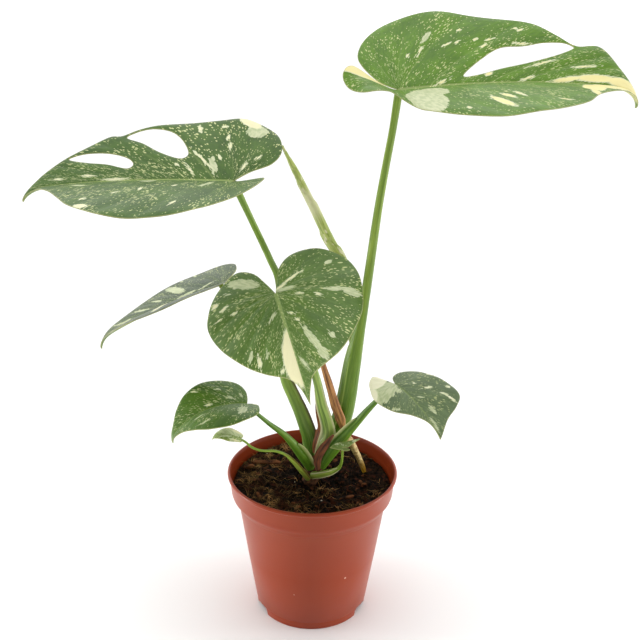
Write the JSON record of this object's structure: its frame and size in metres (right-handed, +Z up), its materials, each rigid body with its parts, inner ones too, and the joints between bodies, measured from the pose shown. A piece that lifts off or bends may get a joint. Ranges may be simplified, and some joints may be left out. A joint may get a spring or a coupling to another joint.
{
  "type": "potted monstera",
  "caption": "Young variegated monstera with heart-shaped and holed leaves on long stalks, growing in soil in a tapered plastic grower's pot.",
  "frame": {"origin": "centre of the pot's underside, on the surface it stands on", "axes": "+Z up, -Y towards the viewer, +X to the viewer's right"},
  "size_m": [0.368, 0.2082, 0.4134],
  "materials": {
    "pot": "satin moulded plastic",
    "soil": "damp peat and coir",
    "blade": "waxy, soft sheen",
    "petiole": "smooth, soft sheen",
    "new_leaf": "smooth, soft sheen",
    "dry": "dry, papery",
    "stem": "rough",
    "root": "matt"
  },
  "bodies": {
    "root": {"pot": "pot", "soil": "soil", "stem": "stem", "aerial_root": "root", "dry_sheath": "dry", "dry_bract": "dry", "new_leaf": "new_leaf", "petiole_upper_right": "petiole", "petiole_upper_left": "petiole", "petiole_centre": "petiole", "petiole_middle_left": "petiole", "petiole_lower_right": "petiole", "petiole_lower_left": "petiole", "petiole_tiny_left": "petiole", "petiole_tiny_right": "petiole", "leaf_upper_right": "blade", "leaf_upper_left": "blade", "leaf_middle_left": "blade", "leaf_centre": "blade", "leaf_lower_left": "blade", "leaf_lower_right": "blade", "leaf_tiny_left": "blade", "leaf_tiny_right": "blade"}
  },
  "joints": []
}
